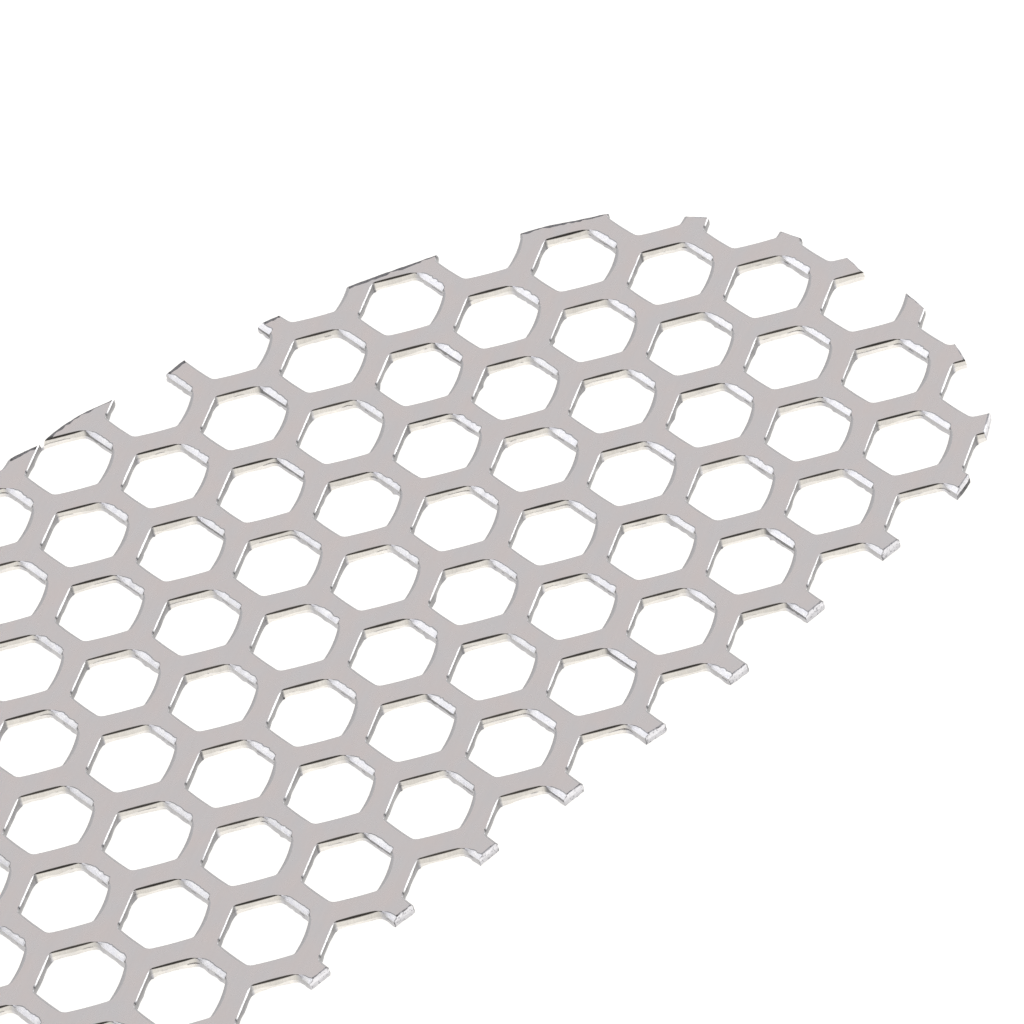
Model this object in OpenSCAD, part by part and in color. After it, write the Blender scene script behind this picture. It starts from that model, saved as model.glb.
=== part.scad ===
// Honeycomb grid: a flat, half-moon plate cut from thin sheet metal that is
// punched all over with staggered hexagonal holes. The whole object is this one
// piece. Its blank is cut straight through the pattern, so the webs end in short
// stubs all round.
//
// Frame: origin at the middle of the underside, +X along the straight edge,
// +Y from the straight edge towards the crown, +Z up through the thickness.

/* [Sheet] */
// Thickness of the sheet
sheet_t = 0.6; // [0.4:0.05:1.2]

/* [Blank] */
// Length of the plate, end to end
plate_l = 79.6; // [70:0.2:90]
// Height of the plate, from the straight edge to the top of the crown
plate_h = 37.5; // [34:0.1:40]
// Radius of the long crown edge
crown_r = 66; // [60:1:80]
// Radius of each end
end_r = 18.8; // [17:0.2:19.4]
// Radius of the corner between each end and the straight edge
corner_r = 8.8; // [5:0.2:10]

/* [Holes] */
// Distance between the holes of one punched line
hole_pitch = 5; // [4.8:0.05:5.6]
// Distance that the sheet is fed from one punched line to the next
line_feed = 4.55; // [4.4:0.05:5.2]
// Size of the hexagonal punch across its flats
hole_af = 3.92; // [3:0.02:4.1]
// Turn of the punch against the punched line, degrees
punch_turn = 1.7; // [-4:0.1:4]
// Place of the hole nearest the plate's middle, along the straight edge
first_x = -0.75; // [-2.5:0.05:2.5]
// Place of the hole nearest the plate's middle, towards the crown
first_y = -1.4; // [-2.2:0.05:2.2]
// Turn of the rows of holes against the straight edge, degrees
row_turn = 0.5; // [-3:0.1:3]

/* [Hidden] */

// Arc step of the blank's edge, degrees
arc_step = 2;
// How far a punch or a cutter runs past the sheet's faces
past = 1;

// Centres of the three arcs of the right half, each tangent to the next
crown_c = [0, plate_h / 2 - crown_r];
end_c = [
    plate_l / 2 - end_r,
    crown_c.y + sqrt((crown_r - end_r) ^ 2 - (plate_l / 2 - end_r) ^ 2)
];
corner_y = corner_r - plate_h / 2;
corner_c = [
    end_c.x + sqrt((end_r - corner_r) ^ 2 - (end_c.y - corner_y) ^ 2),
    corner_y
];

// Directions, from +X, in which one arc hands over to the next
crown_to_end = atan2(end_c.y - crown_c.y, end_c.x - crown_c.x);
end_to_corner = atan2(corner_c.y - end_c.y, corner_c.x - end_c.x);

// The punched lines run at this angle, because the straight edge follows a row
// that steps half a pitch along the line for each feed
line_angle = row_turn - atan2(line_feed, hole_pitch / 2);

// Enough punched lines, and holes in each, to cover the blank
lines = ceil(plate_l / line_feed);

// Points of an arc about c, from direction a to direction b
function arc(c, r, a, b) =
    let (n = ceil(abs(b - a) / arc_step))
    [for (i = [0:n]) c + r * [cos(a + (b - a) * i / n), sin(a + (b - a) * i / n)]];

// The right half's edge, from the top of the crown down to the straight edge
half_edge = concat(
    arc(crown_c, crown_r, 90, crown_to_end),
    arc(end_c, end_r, crown_to_end, end_to_corner),
    arc(corner_c, corner_r, end_to_corner, -90)
);

// The whole edge: the right half, then the same points mirrored and reversed
blank_edge = concat(
    half_edge,
    [for (i = [len(half_edge) - 1:-1:1]) [-half_edge[i].x, half_edge[i].y]]
);

// Centre of hole i of punched line j, counted from the hole nearest the middle
function hole_centre(i, j) =
    let (x = (i + j / 2) * hole_pitch, y = j * line_feed)
    [
        first_x + x * cos(line_angle) - y * sin(line_angle),
        first_y + x * sin(line_angle) + y * cos(line_angle)
    ];

// Whether a punch at p can reach the blank
function reaches_blank(p) =
    abs(p.x) < plate_l / 2 + hole_af && abs(p.y) < plate_h / 2 + hole_af;

// The blank before punching: straight edge, corners, ends and crown
module blank() {
    linear_extrude(sheet_t)
        polygon(blank_edge);
}

// One stroke of the hexagonal punch, flats square to the punched line
module punch() {
    translate([0, 0, -past])
        rotate(line_angle + punch_turn + 30)
            cylinder(d = hole_af / cos(30), h = sheet_t + 2 * past, $fn = 6);
}

// The whole object: the blank with every hole punched through it
module perforated_plate() {
    color([0.76, 0.745, 0.74])
        difference() {
            blank();
            for (j = [-lines:lines], i = [-lines:lines])
                if (reaches_blank(hole_centre(i, j)))
                    translate(hole_centre(i, j))
                        punch();
        }
}

perforated_plate();
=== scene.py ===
import math
import random

import bmesh
import bpy
import numpy as np
from mathutils import Matrix, Vector
from mathutils.geometry import delaunay_2d_cdt


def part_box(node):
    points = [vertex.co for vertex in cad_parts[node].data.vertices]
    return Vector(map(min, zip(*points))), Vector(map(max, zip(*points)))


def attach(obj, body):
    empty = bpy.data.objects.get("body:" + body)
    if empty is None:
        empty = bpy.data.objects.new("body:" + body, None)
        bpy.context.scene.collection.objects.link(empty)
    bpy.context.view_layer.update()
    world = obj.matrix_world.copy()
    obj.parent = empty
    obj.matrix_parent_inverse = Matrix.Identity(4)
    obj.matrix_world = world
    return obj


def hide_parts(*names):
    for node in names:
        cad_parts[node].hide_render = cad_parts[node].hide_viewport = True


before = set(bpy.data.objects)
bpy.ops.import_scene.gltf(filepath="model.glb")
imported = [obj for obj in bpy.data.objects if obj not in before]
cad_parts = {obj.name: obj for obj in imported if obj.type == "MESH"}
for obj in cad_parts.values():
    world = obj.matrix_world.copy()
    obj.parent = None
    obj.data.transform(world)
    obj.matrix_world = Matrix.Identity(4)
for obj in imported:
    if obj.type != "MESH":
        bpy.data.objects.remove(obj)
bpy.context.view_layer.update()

# The sheet is worked out in millimetres and scaled to metres at the end.
METRE = 1000.0
LOW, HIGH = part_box("perforated_plate")
SHEET_T = (HIGH.z - LOW.z) * METRE
PLATE_H = (HIGH.y - LOW.y) * METRE

# The rest of the driving dimensions, as the CAD model has them
PLATE_L = 79.6
CROWN_R = 66.0
END_R = 18.8
CORNER_R = 8.8
HOLE_PITCH = 5.0
LINE_FEED = 4.55
HOLE_AF = 3.92
PUNCH_TURN = math.radians(1.7)
ROW_TURN = math.radians(0.5)
FIRST_HOLE = np.array([-0.75, -1.4])
LINE_ANGLE = ROW_TURN - math.atan2(LINE_FEED, HOLE_PITCH / 2)

SEED = 20

# Material slots of the sheet
FACE, LAND, TORN, CUT = range(4)


def unit(angle):
    return np.array([math.cos(angle), math.sin(angle)])


def smooth_step(low, high, x):
    t = np.clip((x - low) / (high - low), 0, 1)
    return t * t * (3 - 2 * t)


def noise_line(rng, count, period):
    """count numbers within -1..1 that wander smoothly and close on themselves."""
    knots = max(3, round(count / period))
    values = [rng.uniform(-1, 1) for _ in range(knots)]
    values.append(values[0])
    return np.interp(np.linspace(0, knots, count, endpoint=False), range(knots + 1), values)


def wander(rng, count, measure):
    """A noise_line times the measure's amount, over the measure's period."""
    amount, period = measure
    return amount * noise_line(rng, count, period)


def rising(least, share):
    """least where share is 0, and 1 where share is 1."""
    return least + (1 - least) * share


# ------------------------------------------------------------------ punched holes

# The walls of a hole, anticlockwise from the one on its +X side. Each has:
# points: points along the wall
# reach: how far its land stands from the centre
# bow: how far the middle of the wall bows out
# flare: how far its foot stands back
# roll: width and depth of the top edge that the punch drew down
# shelf: width and depth of the torn shelf along the top edge
# tones: painted shade and reflection, standing in for what each part mirrors: how bright its
# broken foot, its land, its drawn top edge and its shelf are
WALLS = [
    dict(points=18, reach=1.965, bow=0.00, flare=0.00, roll=(0.07, 0.06),
         shelf=(0.275, 0.17), tones=(0.57, 0.57, 0.80, 0.85)),
    dict(points=10, reach=1.905, bow=0.00, flare=0.03, roll=(0.10, 0.09),
         shelf=(0.000, 0.00), tones=(0.96, 0.82, 0.50, 1.00)),
    dict(points=13, reach=1.865, bow=0.00, flare=0.03, roll=(0.05, 0.05),
         shelf=(0.050, 0.07), tones=(0.35, 0.33, 0.45, 0.92)),
    dict(points=6, reach=2.000, bow=0.00, flare=0.03, roll=(0.15, 0.11),
         shelf=(0.000, 0.00), tones=(0.60, 0.50, 0.74, 1.00)),
    dict(points=6, reach=1.970, bow=0.00, flare=0.03, roll=(0.12, 0.10),
         shelf=(0.000, 0.00), tones=(0.60, 0.50, 0.79, 1.00)),
    dict(points=7, reach=1.860, bow=0.07, flare=0.03, roll=(0.22, 0.10),
         shelf=(0.000, 0.00), tones=(0.60, 0.50, 0.66, 1.00)),
]
# Walls with a look of their own: the crescent is torn along the first, the second has a painted
# warm reflection, and a narrow strip is torn along the third
CRESCENT_WALL = 0
WARM_WALL = 1
STRIP_WALL = 2
# These two colours tint the painted reflections: the first the warm wall's, the second the other
# walls' and the sheared edge's
WARM = np.array([1.0, 0.972, 0.925])
COOL = np.array([0.975, 0.97, 1.0])
# Spread of a wall's reach from hole to hole
REACH_SPREAD = 0.008
# How far the rounding of the corner after each wall reaches along its two walls
CORNER_CUTS = [0.26, 0.12, 0.06, 0.20, 0.11, 0.20]
CORNER_POINTS = 2

# Levels of a wall: the underside's rounded edge and the broken lower part, as shares
# of each, and then the top edge: its share, and for its torn shelf the share of the
# shelf's width and of its depth
FOOT_STEPS = (0.0, 1.0)
BREAK_STEPS = (0.5, 1.0)
TOP_STEPS = (
    (0.00, 0.00, 1.00), (0.18, 0.25, 0.72), (0.40, 0.50, 0.47),
    (0.62, 0.72, 0.28), (0.82, 0.84, 0.16), (1.00, 1.00, 0.00),
)
# Painted shade along the rim of a torn shelf: how bright the rim is, as a share of the shelf's
# tone
RIM_TONE = 0.40
# How much of a drawn edge's painted shade is gone at its top, on the walls after the strip's
FADE = 0.5
# Radius of the underside's rounded edge, and how high the broken part reaches
FOOT_ROLL = 0.05
BREAK_TOP = 0.27

# Shares of the wall at which the crescent starts, is at its widest, narrows and ends
CRESCENT_FROM, CRESCENT_FULL = 0.01, 0.17
CRESCENT_NARROWS, CRESCENT_TO = 0.66, 0.985
# Shares of the wall at which the strip starts and ends, and how suddenly it does each
STRIP_FROM, STRIP_TO = 0.06, 0.82
STRIP_START, STRIP_END = 0.04, 0.02
# The pit where the strip breaks off: its place and half length along the wall, its depth, and how
# much darker its painted shade is
PIT_AT, PIT_HALF, PIT_DEPTH = 0.89, 0.05, 0.10
PIT_DARK = 0.8
# Share of a shelf from which the edge counts as torn throughout, and the least width there
TORN_FROM, TORN_LEAST = 0.125, 0.01
# Where more of the edge than this is torn, its material is the torn one
TORN_SLOT = 0.4
# Depth of a shelf as a share of its full depth: where it is narrowest, and how much more
# where it is at its widest
DROP_LEAST, DROP_MORE = 0.2, 1.2

# How much of the drawn edge is left at the ends of a wall, at the warm wall's ends, and at
# the very start of the warm wall, up to WARM_START_TO along it
DRAWN_ENDS, WARM_ENDS = 0.5, 0.6
WARM_START, WARM_START_TO = 0.4, 0.18
# Painted reflection on the strip's wall: how bright it is at its start, and where along it that
# fades
NOOK_TONE = 1.1
NOOK_FROM, NOOK_TO = 0.02, 0.2
# Painted shade at the crescent wall's first point: how bright it is, as a share
CRESCENT_START_TONE = 0.5

# How far the foot fills the corner between the warm wall and the strip's wall, and how
# far along each of the two
FILLET, FILLET_REACH = 0.10, 0.26
# Chance that a hole has a burr hanging from its foot, how far it sticks in, what share of
# that it has, and how many points it reaches either way
BURR_CHANCE = 0.4
BURR = 0.09
BURR_SIZES = (0.5, 1)
BURR_REACHES = (1.5, 3)
# Chance that the land under a hole's crescent gets painted shade, and how bright it is then
DARK_LAND_CHANCE = 0.18
DARK_LAND = 0.4
# What differs from hole to hole: width of the crescent and of the strip, raggedness of both,
# brightness of the warm wall's painted reflection on its drawn edge and of the painted shade in
# the corner between it and the strip
CRESCENT_SIZES = (0.80, 1.15)
STRIP_SIZES = (0.85, 1.15)
RAGGEDNESS = (0.5, 1.8)
DRAWN_TONES = (0.75, 1.4)
CORNER_TONES = (0.4, 1.1)

# What wanders from point to point round a hole: by how much, and over how many points
DRAWN_WANDER = (0.10, 6)
COARSE_RAGS = (0.08, 3)
FINE_RAGS = (0.13, 1.2)
DROP_WANDER = (0.06, 5)
TONE_WANDER = (0.08, 3)
FOOT_WANDER = (0.50, 3)
FLARE_WANDER = (0.024, 2)
BREAK_WANDER = (0.35, 3)


def hole_centres():
    """Centres of every hole whose punch can reach the blank."""
    lines = math.ceil(PLATE_L / LINE_FEED)
    along = HOLE_PITCH * unit(LINE_ANGLE)
    across = LINE_FEED * unit(LINE_ANGLE + math.pi / 2)
    within = np.array([PLATE_L, PLATE_H]) / 2 + HOLE_AF
    for j in range(-lines, lines + 1):
        for i in range(-lines, lines + 1):
            centre = FIRST_HOLE + (i + j / 2) * along + j * across
            if np.all(np.abs(centre) < within):
                yield centre


def wall_normal(k):
    """Outward direction of wall k, seen from the hole's centre."""
    return unit(LINE_ANGLE + PUNCH_TURN + (k + 1) * math.pi / 3)


def contour(rng):
    """The land's line round one hole, anticlockwise: its points, the outward direction at
    each, and the wall that each is on and its share of the way along that wall."""
    normals = [wall_normal(k) for k in range(6)]
    reach = [w["reach"] + rng.gauss(0, REACH_SPREAD) for w in WALLS]
    corners = []
    for k in range(6):
        pair = np.array([normals[k - 1], normals[k]])
        corners.append(np.linalg.solve(pair, [reach[k - 1], reach[k]]))
    points, out, wall, share = [], [], [], []
    for k in range(6):
        a, b, c = corners[k], corners[(k + 1) % 6], corners[(k + 2) % 6]
        length = np.linalg.norm(b - a)
        first = CORNER_CUTS[k - 1] / length
        last = 1 - CORNER_CUTS[k] / length
        for u in np.linspace(first, last, WALLS[k]["points"]):
            bow = WALLS[k]["bow"] * 4 * (u - first) * (last - u) / (last - first) ** 2
            points.append(a + (b - a) * u + normals[k] * bow)
            out.append(normals[k])
            wall.append(k)
            share.append(u)
        start = a + (b - a) * last
        end = b + (c - b) * CORNER_CUTS[k] / np.linalg.norm(c - b)
        for u in np.linspace(0, 1, CORNER_POINTS + 2)[1:-1]:
            points.append((1 - u) ** 2 * start + 2 * u * (1 - u) * b + u * u * end)
            mixed = normals[k] * (1 - u) + normals[(k + 1) % 6] * u
            out.append(mixed / np.linalg.norm(mixed))
            wall.append(k if u < 0.5 else (k + 1) % 6)
            share.append(1.0 if u < 0.5 else 0.0)
    return np.array(points), np.array(out), np.array(wall), np.array(share)


def rise(low, high, x):
    """A quarter sine wave from 0 at low to 1 at high."""
    return np.sin(np.clip((x - low) / (high - low), 0, 1) * math.pi / 2)


def shelf_share(wall, share):
    """How much of its shelf each point of the contour has, from 0 to 1."""
    crescent = rise(CRESCENT_FROM, CRESCENT_FULL, share)
    crescent = crescent * rise(CRESCENT_TO, CRESCENT_NARROWS, share)
    strip = smooth_step(STRIP_FROM - STRIP_START, STRIP_FROM + STRIP_START, share)
    strip = strip * smooth_step(STRIP_TO + STRIP_END, STRIP_TO - STRIP_END, share)
    return np.select([wall == CRESCENT_WALL, wall == STRIP_WALL], [crescent, strip], 0.0)


def pit_share(wall, share):
    """How deep in the pit at the strip's end each point is, from 0 to 1."""
    return np.where(wall == STRIP_WALL, np.exp(-(((share - PIT_AT) / PIT_HALF) ** 2)), 0.0)


def of_walls(wall, key):
    """The value or values of its wall for each point, blended a little at the corners."""
    line = np.array([w[key] for w in WALLS])[wall]
    return (np.roll(line, 1, axis=0) + line + np.roll(line, -1, axis=0)) / 3


def drawn_share(rng, wall, share):
    """How much of its drawn-down edge each point has: less towards the corners."""
    middle = np.sin(math.pi * share)
    start = smooth_step(0, WARM_START_TO, share)
    warm = rising(WARM_ENDS, middle) * rising(WARM_START, start)
    drawn = np.where(wall == WARM_WALL, warm, rising(DRAWN_ENDS, middle))
    return drawn * (1 + wander(rng, len(wall), DRAWN_WANDER))


def shelf_widths(rng, wall, shares):
    """Width of the torn shelf at each point of the contour."""
    size = np.ones(len(WALLS))
    size[CRESCENT_WALL] = rng.uniform(*CRESCENT_SIZES)
    size[STRIP_WALL] = rng.uniform(*STRIP_SIZES)
    ragged = wander(rng, len(wall), COARSE_RAGS) + wander(rng, len(wall), FINE_RAGS)
    ragged = 1 + rng.uniform(*RAGGEDNESS) * ragged
    width = np.array([w["shelf"][0] for w in WALLS])
    return (width * size)[wall] * shares * ragged + TORN_LEAST


def top_edge(rng, wall, share):
    """Width, depth and tornness of the top edge at each point of the contour."""
    shares = shelf_share(wall, share)
    torn = np.clip(shares / TORN_FROM, 0, 1)
    torn_width = shelf_widths(rng, wall, shares) * torn
    torn_depth = np.array([w["shelf"][1] for w in WALLS])[wall] * torn
    torn_depth *= np.clip(DROP_LEAST + DROP_MORE * shares, 0, 1)
    drawn = drawn_share(rng, wall, share) * (1 - torn)
    torn_depth *= 1 + wander(rng, len(wall), DROP_WANDER)
    drawn_width, drawn_depth = of_walls(wall, "roll").T * drawn
    pit = PIT_DEPTH * pit_share(wall, share)
    return drawn_width + torn_width + pit / 2, drawn_depth + torn_depth + pit, torn


def burr_line(rng, count):
    """How far the foot sticks into the hole at each point of the contour."""
    if rng.random() > BURR_CHANCE:
        return np.zeros(count)
    middle = rng.randrange(count)
    away = np.abs((np.arange(count) - middle + count // 2) % count - count // 2)
    height = BURR * rng.uniform(*BURR_SIZES)
    return height * np.clip(1 - away / rng.uniform(*BURR_REACHES), 0, 1)


def fillet(wall, share):
    """How far the foot sticks into the corner at the strip's start."""
    away = np.select([wall == WARM_WALL, wall == STRIP_WALL], [1 - share, share], 1.0)
    return FILLET * np.clip(1 - away / FILLET_REACH, 0, 1) ** 2


def wall_tones(rng, wall, share):
    """Colours of the foot, land, drawn edge and shelf at each point of the contour, as painted
    shade and reflection.
    """
    foot, land, drawn, shelf = of_walls(wall, "tones").T[:, :, None]
    patchy = 1 + wander(rng, len(wall), TONE_WANDER)
    # Painted shade in the corner between the warm wall and the strip's wall, and painted
    # reflection near the strip's start
    corner = ((wall == WARM_WALL) & (share == 1)) | ((wall == STRIP_WALL) & (share == 0))
    nook = rising(NOOK_TONE, smooth_step(NOOK_FROM, NOOK_TO, share))
    nook = np.where(wall == STRIP_WALL, nook, 1)
    nook = patchy * np.where(corner, rng.uniform(*CORNER_TONES), nook)
    tint = np.where(((wall == WARM_WALL) & ~corner)[:, None], WARM, COOL)
    foot = foot * tint * nook[:, None]
    land = land * tint * nook[:, None]
    drawn = drawn * tint * np.where(wall == WARM_WALL, rng.uniform(*DRAWN_TONES), 1)[:, None]
    drawn = np.where(corner[:, None], COOL, drawn)
    if rng.random() < DARK_LAND_CHANCE:
        land = land * np.where(wall == CRESCENT_WALL, DARK_LAND, 1)[:, None]
    # Painted shade in the pit and at the crescent wall's first point
    dark = 1 - PIT_DARK * pit_share(wall, share)
    dark *= np.where((wall == CRESCENT_WALL) & (share == 0), CRESCENT_START_TONE, 1)
    return foot, land, drawn * dark[:, None], shelf


def lower_rings(rng, wall, share):
    """The rings of a hole's foot and broken part, as offsets outwards and heights."""
    count = len(wall)
    foot = FOOT_ROLL * (1 + wander(rng, count, FOOT_WANDER))
    flare = of_walls(wall, "flare") + wander(rng, count, FLARE_WANDER)
    flare = flare - burr_line(rng, count) - fillet(wall, share)
    break_top = BREAK_TOP * (1 + wander(rng, count, BREAK_WANDER))
    turns = [s * math.pi / 2 for s in FOOT_STEPS]
    rings = [(flare + foot * (1 - math.sin(t)), foot * (1 - math.cos(t))) for t in turns]
    return rings + [(flare * (1 - s), foot + (break_top - foot) * s) for s in BREAK_STEPS]


def upper_rings(width, depth, torn):
    """The rings of a hole's top edge, as offsets outwards and heights: a rounded edge
    where the punch drew it down, and a shelf where it is torn."""
    rings = []
    for s, across, down in TOP_STEPS:
        turn = s * math.pi / 2
        outward = width * (1 - math.cos(turn)) * (1 - torn) + width * across * torn
        drop = depth * (1 - math.sin(turn)) * (1 - torn) + depth * down * torn
        rings.append((outward, SHEET_T - drop))
    return rings


def hole_rings(rng, centre):
    """Rings round one hole from the underside's edge up to the top face's, and the tones
    and material slots of the bands between them."""
    points, out, wall, share = contour(rng)
    width, depth, torn = top_edge(rng, wall, share)
    levels = lower_rings(rng, wall, share) + upper_rings(width, depth, torn)
    foot, land, drawn, shelf = wall_tones(rng, wall, share)
    bands = [(foot, TORN)] * (len(FOOT_STEPS) + len(BREAK_STEPS) - 1) + [(land, LAND)]
    rent = torn[:, None]
    soft = FADE * (wall > STRIP_WALL)[:, None]
    slot = np.where(torn > TORN_SLOT, TORN, LAND)
    for s, _, _ in TOP_STEPS:
        bands.append(((drawn + (1 - drawn) * s * soft) * (1 - rent) + shelf * rent, slot))
    # The last ring has no band above it. Its tone, given painted shade where torn, is the rim
    # below it.
    rim, slot = bands.pop()
    bands[-1] = (rim * (1 - rent * (1 - RIM_TONE)), slot)
    rings = []
    for offset, height in levels:
        flat = centre + points + out * offset[:, None]
        rings.append(np.column_stack([flat, np.broadcast_to(height, len(points))]))
    return rings, bands


def band_faces(low, count, tone, slot, upward):
    """Faces, slots and corner tones of the band above the ring that starts at low."""
    here = np.arange(count)
    there = (here + 1) % count
    tone = np.broadcast_to(tone, (count, 3))
    corners = [low + here, low + count + here, low + count + there, low + there]
    tones = [tone, tone, tone[there], tone[there]]
    if not upward:
        corners.reverse()
        tones.reverse()
    slots = np.broadcast_to(slot, count).tolist()
    return np.column_stack(corners).tolist(), slots, np.stack(tones, axis=1).reshape(-1, 3)


# What delaunay_2d_cdt is asked for: only triangles that lie inside a loop, with which loops
# each lies in, and points closer than this in millimetres taken as one
INSIDE_ONLY = 1
SAME_POINT = 1e-6


def flat_face(corners, loops, up):
    """Triangles of a flat face with holes, as indices into corners and loops."""
    points = [Vector(p[:2]) for p in corners]
    outlines = [list(range(len(corners)))]
    for loop in loops:
        outlines.append(list(range(len(points), len(points) + len(loop))))
        points.extend(Vector(p[:2]) for p in loop)
    made = delaunay_2d_cdt(points, [], outlines, INSIDE_ONLY, SAME_POINT, True)
    _, _, triangles, from_points, _, from_outlines = made
    source = [ids[0] for ids in from_points]
    solid = [f for f, around in zip(triangles, from_outlines) if list(around) == [0]]
    solid = [[source[i] for i in f] for f in solid]
    return solid if up else [f[::-1] for f in solid]


def sheet_mesh():
    """An oversize sheet with every hole punched through it, in millimetres."""
    rng = random.Random(SEED)
    half = np.array([PLATE_L, PLATE_H]) / 2 + 2 * HOLE_AF
    corners = [half * s for s in ((-1, -1), (1, -1), (1, 1), (-1, 1))]
    vertices = [(*c, 0.0) for c in corners] + [(*c, SHEET_T) for c in corners]
    faces = [[k, (k + 1) % 4, 4 + (k + 1) % 4, 4 + k] for k in range(4)]
    slots = [CUT] * len(faces)
    tones = [np.ones((4 * len(faces), 3))]
    feet, brims = [], []
    foot_ids, brim_ids = list(range(4)), list(range(4, 8))
    for centre in hole_centres():
        rings, bands = hole_rings(rng, centre)
        count = len(rings[0])
        low = len(vertices)
        feet.append(rings[0])
        foot_ids.extend(range(low, low + count))
        for tone, slot in bands:
            more_faces, more_slots, more_tones = band_faces(low, count, tone, slot, True)
            faces.extend(more_faces)
            slots.extend(more_slots)
            tones.append(more_tones)
            low += count
        brims.append(rings[-1])
        brim_ids.extend(range(low, low + count))
        for ring in rings:
            vertices.extend(ring.tolist())
    for loops, ids, up in ((feet, foot_ids, False), (brims, brim_ids, True)):
        triangles = flat_face(corners, loops, up)
        faces.extend([ids[i] for i in f] for f in triangles)
        slots.extend([FACE] * len(triangles))
        tones.append(np.ones((3 * len(triangles), 3)))
    return make_mesh("punched_sheet", vertices, faces, slots, np.concatenate(tones))


def make_mesh(name, vertices, faces, slots, tones):
    """A mesh with its material slots and the tone of every face's corners."""
    mesh = bpy.data.meshes.new(name)
    mesh.from_pydata(vertices, [], faces)
    mesh.polygons.foreach_set("material_index", slots)
    tone = mesh.attributes.new("tone", "FLOAT_VECTOR", "CORNER")
    tone.data.foreach_set("vector", np.asarray(tones).ravel())
    mesh.update()
    return mesh


# -------------------------------------------------------------------- sheared edge

OUTLINE_STEP = 0.12
# The shears' profile: height as a share of the thickness, how far the edge stands
# back there, how rough it is, and the tone of the band above
SHEAR_PROFILE = (
    (-0.80, 0.070, 0.015, 0.42), (0.00, 0.070, 0.020, 0.42), (0.06, 0.015, 0.020, 0.60),
    (0.12, 0.000, 0.018, 0.66), (0.38, 0.000, 0.018, 0.70), (0.52, 0.020, 0.030, 0.84),
    (0.72, 0.035, 0.020, 0.86), (0.93, 0.040, 0.018, 0.78), (0.985, 0.055, 0.015, 1.00),
    (1.00, 0.055, 0.015, 1.00), (1.80, 0.055, 0.015, 1.00),
)
# What wanders from point to point along the edge: by how much, and over how many points.
# How much the roughness does is in the profile.
SHEAR_WANDER = (0.05, 20)
ROUGH_PERIOD = 1.6
SHEAR_TONE_WANDER = (0.10, 2)
# Width of the scuffed rim on the upper face, and the tone of the painted shade along it: round
# most of the edge, and where the edge faces +Y. Between the two, its outward direction's Y is
# SCUFF_Y.
SCUFF = (0.07, 0.20)
RIM_SHADE = (0.62, 0.30)
SCUFF_Y = (0.60, 0.72)
# How much of that width the rim has, and how this wanders along the edge
SCUFF_SHARE = 0.80
COARSE_SCUFF = (0.35, 15)
FINE_SCUFF = (0.40, 1.6)
# Share of the thickness from which the rim's painted shade holds
RIM_FROM = 0.95
# Where the lower part of the edge gets painted shade, how far from there, how dark, and from what
# height to what height, as shares of the thickness
SHADED_STUB_AT = (32.6, -18.3)
SHADED_STUB_HALF = 1.2
SHADED_STUB_DARK = 0.88
SHADED_STUB_LOW, SHADED_STUB_TOP = 0.05, 0.45
# Places where the shears strayed from the drawn line: X and Y there, how far outwards
# they went, and half the length of the stretch
STRAYS = (
    (4.9, 18.5, -0.23, 0.9), (9.1, 18.0, -0.20, 1.0), (11.9, 17.3, -0.42, 1.2),
    (30.3, 11.2, -0.15, 1.2), (34.2, 8.8, 0.22, 1.2), (37.6, 3.0, 0.20, 1.5),
    (39.7, -4.0, -0.38, 1.0), (36.8, -15.2, 0.35, 1.4), (21.2, -18.7, 0.24, 2.2),
    (16.9, -18.7, 0.52, 2.6), (12.1, -18.7, 0.37, 2.4), (6.0, -18.7, 0.32, 2.4),
    (0.5, -18.7, 0.15, 2.2),
)


def near(points, place, half):
    """1 at a place, falling to 0 further from it than about twice half."""
    return np.exp(-(((points - place) / half) ** 2).sum(axis=1))


def strayed(points):
    """How far outside the drawn line the shears ran at each point."""
    off = np.zeros(len(points))
    for x, y, amount, half in STRAYS:
        off += amount * near(points, (x, y), half)
    return off


def arc(centre, radius, start, end):
    """Points and outward directions along an arc, but for its last point."""
    steps = max(1, math.ceil(abs(end - start) * radius / OUTLINE_STEP))
    turns = np.linspace(start, end, steps, endpoint=False)
    return [(centre + radius * unit(t), unit(t)) for t in turns]


def blank_outline():
    """Points and outward directions round the blank, anticlockwise."""
    crown = np.array([0, PLATE_H / 2 - CROWN_R])
    run = PLATE_L / 2 - END_R
    end = np.array([run, crown[1] + math.sqrt((CROWN_R - END_R) ** 2 - run ** 2)])
    corner_y = CORNER_R - PLATE_H / 2
    climb = end[1] - corner_y
    corner = np.array([end[0] + math.sqrt((END_R - CORNER_R) ** 2 - climb ** 2), corner_y])
    crown_to_end = math.atan2(end[1] - crown[1], end[0] - crown[0])
    end_to_corner = math.atan2(corner[1] - end[1], corner[0] - end[0])
    down, top = -math.pi / 2, math.pi / 2
    right = arc(corner, CORNER_R, down, end_to_corner)
    right += arc(end, END_R, end_to_corner, crown_to_end)
    right += arc(crown, CROWN_R, crown_to_end, top)
    flip = np.array([-1, 1])
    left = [(p * flip, n * flip) for p, n in reversed(right)]
    steps = math.ceil(2 * corner[0] / OUTLINE_STEP)
    straight = [
        (np.array([x, -PLATE_H / 2]), unit(down))
        for x in np.linspace(-corner[0], corner[0], steps, endpoint=False)[1:]
    ]
    whole = right + [(np.array([0, PLATE_H / 2]), unit(top))] + left + straight
    return np.array([p for p, _ in whole]), np.array([n for _, n in whole])


def between(pair, share):
    """The pair's first number where share is 0, and its second where it is 1."""
    return pair[0] + (pair[1] - pair[0]) * share


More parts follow.
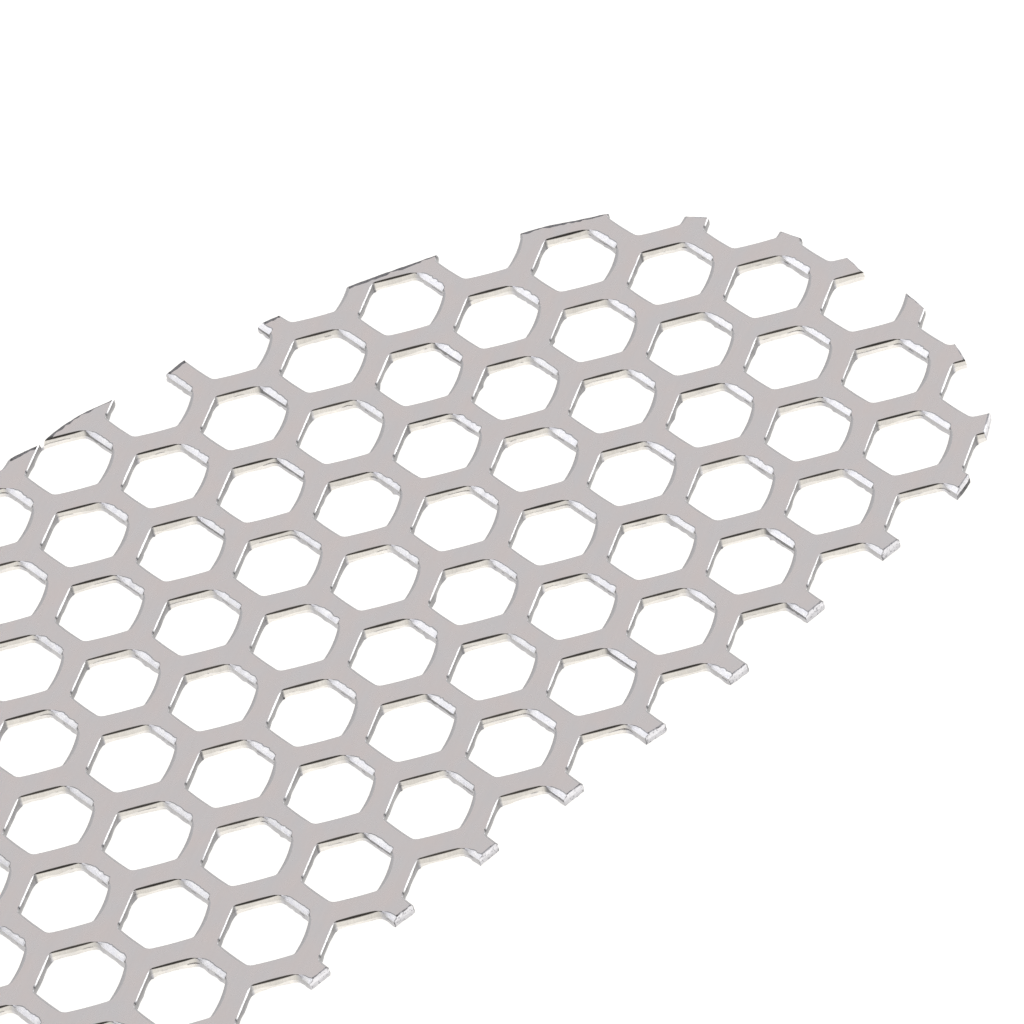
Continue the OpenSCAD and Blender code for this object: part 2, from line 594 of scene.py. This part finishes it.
def cutter_mesh():
    """A closed solid of what the shears leave, in millimetres."""
    rng = random.Random(SEED + 1)
    points, out = blank_outline()
    count = len(points)
    line = wander(rng, count, SHEAR_WANDER) + strayed(points)
    facing = smooth_step(*SCUFF_Y, out[:, 1])
    scuff = SCUFF_SHARE + wander(rng, count, COARSE_SCUFF) + wander(rng, count, FINE_SCUFF)
    scuff = np.clip(scuff, 0, 1) * between(SCUFF, facing)
    # Painted shade along the top rim of the sheared edge
    rim = between(RIM_SHADE, facing)
    stub_shade = 1 - SHADED_STUB_DARK * near(points, SHADED_STUB_AT, SHADED_STUB_HALF)
    vertices, bands = [], []
    for share, back, rough, tone in SHEAR_PROFILE:
        offset = line - back + wander(rng, count, (rough, ROUGH_PERIOD))
        if share >= 1:
            offset = offset - scuff
        vertices.extend((*p, share * SHEET_T) for p in points + out * offset[:, None])
        tone = tone * (1 + wander(rng, count, SHEAR_TONE_WANDER))
        # Painted shade on the lower part of one stub's edge
        if SHADED_STUB_LOW < share < SHADED_STUB_TOP:
            tone = tone * stub_shade
        if share > RIM_FROM:
            tone = tone * rim
        bands.append(np.outer(tone, COOL))
    faces, tones = [], []
    for level, tone in enumerate(bands[:-1]):
        more_faces, _, more_tones = band_faces(level * count, count, tone, CUT, False)
        faces.extend(more_faces)
        tones.append(more_tones)
    faces.append(list(range(count))[::-1])
    faces.append(list(range(len(vertices) - count, len(vertices))))
    tones.append(np.ones((2 * count, 3)))
    return make_mesh("shears", vertices, faces, [CUT] * len(faces), np.concatenate(tones))


# Faces with more sides than this are split
QUAD = 4


def largest_island(mesh):
    """Removes every loose scrap that isn't the plate, and splits faces of many sides."""
    work = bmesh.new()
    work.from_mesh(mesh)
    unseen = set(work.verts)
    islands = []
    while unseen:
        stack = [unseen.pop()]
        island = list(stack)
        while stack:
            for edge in stack.pop().link_edges:
                for vertex in edge.verts:
                    if vertex in unseen:
                        unseen.remove(vertex)
                        stack.append(vertex)
                        island.append(vertex)
        islands.append(island)
    islands.sort(key=len)
    scraps = [v for island in islands[:-1] for v in island]
    bmesh.ops.delete(work, geom=scraps, context="VERTS")
    bmesh.ops.triangulate(work, faces=[f for f in work.faces if len(f.verts) > QUAD])
    work.to_mesh(mesh)
    work.free()


# Painted shade on the sheared ends of the webs where they meet the walls of the holes: how bright
# they are there
SEAM_SHADE = 0.2
# Edges sharper than this stay sharp, and a land this close below the upper face is flat
SHARP = math.radians(38)
FLAT_WITHIN = 0.001
# How much of a torn shelf's shading follows its wall's slope instead of every facet
SHELF_EVEN = 0.75


def read(items, key, width, kind=float):
    """One value, or a row of width values, for each item of a mesh."""
    values = np.empty(len(items) * width, kind)
    items.foreach_get(key, values)
    return values.reshape(-1, width) if width > 1 else values


def paint_seam_shade(mesh):
    """Paints shade onto the sheared ends where they meet the walls of the holes."""
    slot = read(mesh.polygons, "material_index", 1, int)
    slot = np.repeat(slot, read(mesh.polygons, "loop_total", 1, int))
    vertex = read(mesh.loops, "vertex_index", 1, int)
    on_wall = np.zeros(len(mesh.vertices), bool)
    on_wall[vertex[(slot == LAND) | (slot == TORN)]] = True
    tones = mesh.attributes["tone"].data
    values = read(tones, "vector", 3)
    values[(slot == CUT) & on_wall[vertex]] *= SEAM_SHADE
    tones.foreach_set("vector", values.ravel())


def shelf_normals(normals):
    """Normals of torn shelves, each turned towards the slope of its own wall."""
    slopes = []
    for k in (CRESCENT_WALL, STRIP_WALL):
        width, drop = WALLS[k]["shelf"]
        slope = np.array([*(-wall_normal(k) * drop), width])
        slopes.append(slope / np.linalg.norm(slope))
    slopes = np.array(slopes)
    nearest = np.argmax(normals @ slopes.T, axis=1)
    even = normals + (slopes[nearest] - normals) * SHELF_EVEN
    return even / np.linalg.norm(even, axis=1)[:, None]


def set_normals(mesh):
    """Smooth shading that leaves both faces flat up to the edges of the holes."""
    mesh.polygons.foreach_set("use_smooth", [True] * len(mesh.polygons))
    mesh.set_sharp_from_angle(angle=SHARP)
    slot = read(mesh.polygons, "material_index", 1, int)
    sides = read(mesh.polygons, "loop_total", 1, int)
    slot = np.repeat(slot, sides)
    edge = read(mesh.loops, "edge_index", 1, int)
    flat = np.zeros(len(mesh.edges), bool)
    other = np.zeros(len(mesh.edges), bool)
    flat[edge[slot == FACE]] = True
    other[edge[slot != FACE]] = True
    sharp = read(mesh.edges, "use_edge_sharp", 1, bool)
    mesh.edges.foreach_set("use_edge_sharp", sharp | (flat & other))
    normals = read(mesh.corner_normals, "vector", 3)
    height = read(mesh.vertices, "co", 3)[read(mesh.loops, "vertex_index", 1, int), 2]
    upper = height > SHEET_T / 2
    level = (slot == FACE) | ((slot == LAND) & (np.abs(height - SHEET_T) < FLAT_WITHIN))
    shelf = (slot == TORN) & upper
    normals[shelf] = shelf_normals(normals[shelf])
    normals[level] = np.outer(np.where(upper[level], 1, -1), (0, 0, 1))
    mesh.normals_split_custom_set(normals)


def perforated_plate(materials):
    """The whole plate as one object, in metres."""
    sheet = bpy.data.objects.new("perforated_sheet", sheet_mesh())
    shears = bpy.data.objects.new("shears", cutter_mesh())
    for piece in (sheet, shears):
        for material in materials:
            piece.data.materials.append(material)
        bpy.context.scene.collection.objects.link(piece)
    trim = sheet.modifiers.new("trim", "BOOLEAN")
    trim.operation = "INTERSECT"
    trim.solver = "MANIFOLD"
    trim.object = shears
    bpy.context.view_layer.update()
    depsgraph = bpy.context.evaluated_depsgraph_get()
    trimmed = bpy.data.meshes.new_from_object(sheet.evaluated_get(depsgraph))
    sheet.modifiers.clear()
    sheet.data = trimmed
    bpy.data.objects.remove(shears)
    largest_island(trimmed)
    paint_seam_shade(trimmed)
    set_normals(trimmed)
    trimmed.transform(Matrix.Scale(1 / METRE, 4))
    return sheet


# ----------------------------------------------------------------------- materials


# A noise texture's values lie mostly between these
NOISE_RANGE = (0.3, 0.7)


class Nodes:
    """Short ways to add and join the nodes of one metal material."""

    def __init__(self, name, roughness):
        self.material = bpy.data.materials.new(name)
        self.material.use_nodes = True
        self.tree = self.material.node_tree
        self.shader = self.tree.nodes["Principled BSDF"]
        self.shader.inputs["Metallic"].default_value = 1.0
        self.shader.inputs["Roughness"].default_value = roughness
        self.where = self.tree.nodes.new("ShaderNodeTexCoord").outputs["Object"]

    def stretched(self, turn, scale):
        """Object coordinates turned about Z, then scaled along each axis."""
        place = self.tree.nodes.new("ShaderNodeMapping")
        place.vector_type = "TEXTURE"
        place.inputs["Rotation"].default_value = (0, 0, turn)
        place.inputs["Scale"].default_value = [s / METRE for s in scale]
        self.tree.links.new(self.where, place.inputs["Vector"])
        return place.outputs["Vector"]

    def noise(self, turn, scale, detail=2.0):
        """Noise whose grains are about scale millimetres along each axis."""
        texture = self.tree.nodes.new("ShaderNodeTexNoise")
        texture.inputs["Scale"].default_value = 1.0
        texture.inputs["Detail"].default_value = detail
        self.tree.links.new(self.stretched(turn, scale), texture.inputs["Vector"])
        return texture.outputs["Fac"]

    def spread(self, value, low, high):
        """A noise whose usual range is taken to low to high."""
        node = self.tree.nodes.new("ShaderNodeMapRange")
        node.inputs["From Min"].default_value = NOISE_RANGE[0]
        node.inputs["From Max"].default_value = NOISE_RANGE[1]
        node.inputs["To Min"].default_value = low
        node.inputs["To Max"].default_value = high
        self.tree.links.new(value, node.inputs["Value"])
        return node.outputs["Result"]

    def blend(self, share, a, b):
        """Colour a where share is 0, and b where it is 1."""
        node = self.tree.nodes.new("ShaderNodeMix")
        node.data_type = "RGBA"
        node.inputs["A"].default_value = (*a, 1)
        node.inputs["B"].default_value = (*b, 1)
        self.tree.links.new(share, node.inputs["Factor"])
        return node.outputs["Result"]

    def shade(self, colour, amount):
        """colour times the number or colour amount."""
        node = self.tree.nodes.new("ShaderNodeVectorMath")
        node.operation = "MULTIPLY"
        self.tree.links.new(colour, node.inputs[0])
        self.tree.links.new(amount, node.inputs[1])
        return node.outputs["Vector"]

    def tone(self):
        """The tone that the mesh carries at each corner of its faces, which holds the painted
        shade and reflection of walls and edges.
        """
        node = self.tree.nodes.new("ShaderNodeAttribute")
        node.attribute_name = "tone"
        return node.outputs["Vector"]

    def paint(self, colour, roughness):
        self.tree.links.new(colour, self.shader.inputs["Base Color"])
        self.tree.links.new(roughness, self.shader.inputs["Roughness"])

    def dent(self, height, depth):
        """Bumps of depth millimetres."""
        node = self.tree.nodes.new("ShaderNodeBump")
        node.inputs["Distance"].default_value = depth / METRE
        self.tree.links.new(height, node.inputs["Height"])
        self.tree.links.new(node.outputs["Normal"], self.shader.inputs["Normal"])


# Direction in which the sheet went through the press, and the streaks along it
FEED_ANGLE = LINE_ANGLE + math.pi / 2


# In the four materials below, a noise has its turn about Z and then the sizes of its
# grains in millimetres, along X and Y as turned and along Z.


def rolled_face():
    """Mill finish: faint warm and cool clouds under fine streaks along the feed."""
    warm, cool = (0.845, 0.782, 0.760), (0.806, 0.787, 0.785)
    n = Nodes("rolled_face", 0.28)
    clouds = n.noise(FEED_ANGLE, (2.2, 1.2, 5.0), detail=3)
    streaks = n.noise(FEED_ANGLE, (2.0, 0.12, 1.0))
    haze = n.noise(0, (0.8, 0.8, 0.8))
    colour = n.shade(n.blend(n.spread(clouds, 0, 1), warm, cool), n.spread(streaks, 0.992, 1.008))
    n.paint(colour, n.spread(haze, 0.26, 0.30))
    n.dent(streaks, 0.0001)
    return n.material


def burnished_land():
    """Wall that the punch rubbed smooth, scored from top to bottom."""
    clean, grey = (0.84, 0.83, 0.81), (0.80, 0.80, 0.80)
    n = Nodes("burnished_land", 0.2)
    scores = n.noise(0, (0.05, 0.05, 1.2))
    smears = n.noise(0, (0.25, 0.25, 0.1))
    colour = n.shade(n.blend(n.spread(smears, 0, 1), clean, grey), n.tone())
    n.paint(n.shade(colour, n.spread(scores, 0.93, 1.05)), n.spread(scores, 0.14, 0.26))
    n.dent(scores, 0.002)
    return n.material


def torn_shelf():
    """Bright torn metal: coarse grain with smears across it."""
    cool, bright = (0.86, 0.86, 0.89), (0.95, 0.945, 0.93)
    n = Nodes("torn_shelf", 0.32)
    grain = n.noise(0, (0.05, 0.05, 0.05), detail=3)
    smears = n.noise(0, (0.3, 0.3, 0.12))
    colour = n.shade(n.blend(n.spread(smears, 0, 1), cool, bright), n.tone())
    n.paint(n.shade(colour, n.spread(grain, 0.94, 1.04)), n.spread(grain, 0.24, 0.38))
    n.dent(grain, 0.002)
    return n.material


def sheared_edge():
    """End of a web where the blank was cut: bright, with dark specks."""
    dark, bright = (0.50, 0.50, 0.52), (0.96, 0.96, 0.97)
    n = Nodes("sheared_edge", 0.28)
    specks = n.noise(0, (0.10, 0.10, 0.14), detail=3)
    colour = n.blend(n.spread(specks, -0.3, 3.3), dark, bright)
    n.paint(n.shade(colour, n.tone()), n.spread(specks, 0.20, 0.42))
    n.dent(specks, 0.006)
    return n.material


def make_materials():
    """The plate's materials, in the order of its slots."""
    return [rolled_face(), burnished_land(), torn_shelf(), sheared_edge()]


# --------------------------------------------------------------- camera and light

# The photo's camera: where it stands, how it is rolled, how far off it is and what it
# looks at, in metres, with its lens and sensor in millimetres
CAMERA_AZIMUTH = math.radians(-34.46)
CAMERA_ELEVATION = math.radians(44.10)
CAMERA_ROLL = math.radians(-10.71)
CAMERA_DISTANCE = 0.4734
CAMERA_TARGET = Vector((0.01689, -0.00311, SHEET_T / METRE))
LENS = 347.3
SENSOR = 36.0
CLIP_START, CLIP_END = 0.01, 20


def direction(azimuth, elevation):
    """Direction from the plate to something at this azimuth and elevation: at azimuth 0 it
    stands on the -Y side, and it looks along +Y."""
    flat = math.cos(elevation)
    return Vector((flat * math.sin(azimuth), -flat * math.cos(azimuth), math.sin(elevation)))


def make_camera():
    camera = bpy.data.objects.new("camera", bpy.data.cameras.new("camera"))
    camera.data.lens = LENS
    camera.data.sensor_width = SENSOR
    camera.data.clip_start = CLIP_START
    camera.data.clip_end = CLIP_END
    back = direction(CAMERA_AZIMUTH, CAMERA_ELEVATION)
    turn = back.to_track_quat("Z", "Y").to_matrix().to_4x4()
    roll = Matrix.Rotation(CAMERA_ROLL, 4, "Z")
    place = Matrix.Translation(CAMERA_TARGET + back * CAMERA_DISTANCE)
    camera.matrix_world = place @ turn @ roll
    bpy.context.scene.collection.objects.link(camera)
    bpy.context.scene.camera = camera


# The two softboxes: how far left of where the camera looks each stands and how high, in
# degrees, its radiance, its side in metres and its colour
SOFTBOXES = {
    "softbox_left": dict(left=72, up=52, radiance=1.30, size=0.8, colour=(0.95, 0.955, 1.0)),
    "softbox_right": dict(left=-66, up=24, radiance=1.50, size=1.5, colour=(1.0, 1.0, 1.0)),
}
SOFTBOX_DISTANCE = 1.6


def make_softbox(name, left, up, radiance, size, colour):
    """A square lamp that faces the plate and that the camera doesn't see."""
    lamp = bpy.data.lights.new(name, "AREA")
    lamp.shape = "SQUARE"
    lamp.size = size
    lamp.energy = radiance * math.pi * size * size
    lamp.color = colour
    holder = bpy.data.objects.new(name, lamp)
    back = direction(CAMERA_AZIMUTH + math.radians(180 + left), math.radians(up))
    holder.location = back * SOFTBOX_DISTANCE
    holder.rotation_mode = "QUATERNION"
    holder.rotation_quaternion = back.to_track_quat("Z", "Y")
    holder.visible_camera = False
    bpy.context.scene.collection.objects.link(holder)


# The room: its colour, its colour where it is dim, the elevation of the middle of the dim
# part, which is behind the camera, and the cosines of the angle from there at which the
# dimness starts and is full
ROOM_BRIGHT = (0.685, 0.675, 0.685)
ROOM_DIM = (0.11, 0.10, 0.095)
DIM_ELEVATION = math.radians(40)
DIM_FROM, DIM_TO = 0.0, 0.65


def make_room():
    """A pale room that is dim above and behind the camera."""
    world = bpy.data.worlds.new("room")
    bpy.context.scene.world = world
    world.use_nodes = True
    nodes, links = world.node_tree.nodes, world.node_tree.links
    where = nodes.new("ShaderNodeTexCoord")
    dot = nodes.new("ShaderNodeVectorMath")
    dot.operation = "DOT_PRODUCT"
    dot.inputs[1].default_value = direction(CAMERA_AZIMUTH, DIM_ELEVATION)
    links.new(where.outputs["Generated"], dot.inputs[0])
    share = nodes.new("ShaderNodeMapRange")
    share.interpolation_type = "SMOOTHSTEP"
    share.inputs["From Min"].default_value = DIM_FROM
    share.inputs["From Max"].default_value = DIM_TO
    links.new(dot.outputs["Value"], share.inputs["Value"])
    mix = nodes.new("ShaderNodeMix")
    mix.data_type = "RGBA"
    mix.inputs["A"].default_value = (*ROOM_BRIGHT, 1)
    mix.inputs["B"].default_value = (*ROOM_DIM, 1)
    links.new(share.outputs["Result"], mix.inputs["Factor"])
    links.new(mix.outputs["Result"], nodes["Background"].inputs["Color"])


# The floor: half its side in metres, its paper, and the light that comes through it
FLOOR_HALF = 3.0
PAPER = (0.30, 0.295, 0.285)
PAPER_ROUGHNESS = 0.9
GLOW = (1.0, 0.985, 0.96)
GLOW_STRENGTH = 0.98


def make_floor():
    """A pale floor that is lit from below like a light table."""
    mesh = bpy.data.meshes.new("floor")
    corners = [(-1, -1), (1, -1), (1, 1), (-1, 1)]
    mesh.from_pydata([(FLOOR_HALF * x, FLOOR_HALF * y, 0) for x, y in corners], [], [[0, 1, 2, 3]])
    floor = bpy.data.objects.new("floor", mesh)
    paper = bpy.data.materials.new("floor_paper")
    paper.use_nodes = True
    shader = paper.node_tree.nodes["Principled BSDF"]
    shader.inputs["Base Color"].default_value = (*PAPER, 1)
    shader.inputs["Roughness"].default_value = PAPER_ROUGHNESS
    shader.inputs["Emission Color"].default_value = (*GLOW, 1)
    shader.inputs["Emission Strength"].default_value = GLOW_STRENGTH
    mesh.materials.append(paper)
    bpy.context.scene.collection.objects.link(floor)


make_camera()
plate = perforated_plate(make_materials())
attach(plate, "root")
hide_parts("perforated_plate")
make_floor()
make_room()
for softbox, settings in SOFTBOXES.items():
    make_softbox(softbox, **settings)
bpy.context.scene.view_settings.view_transform = "Standard"
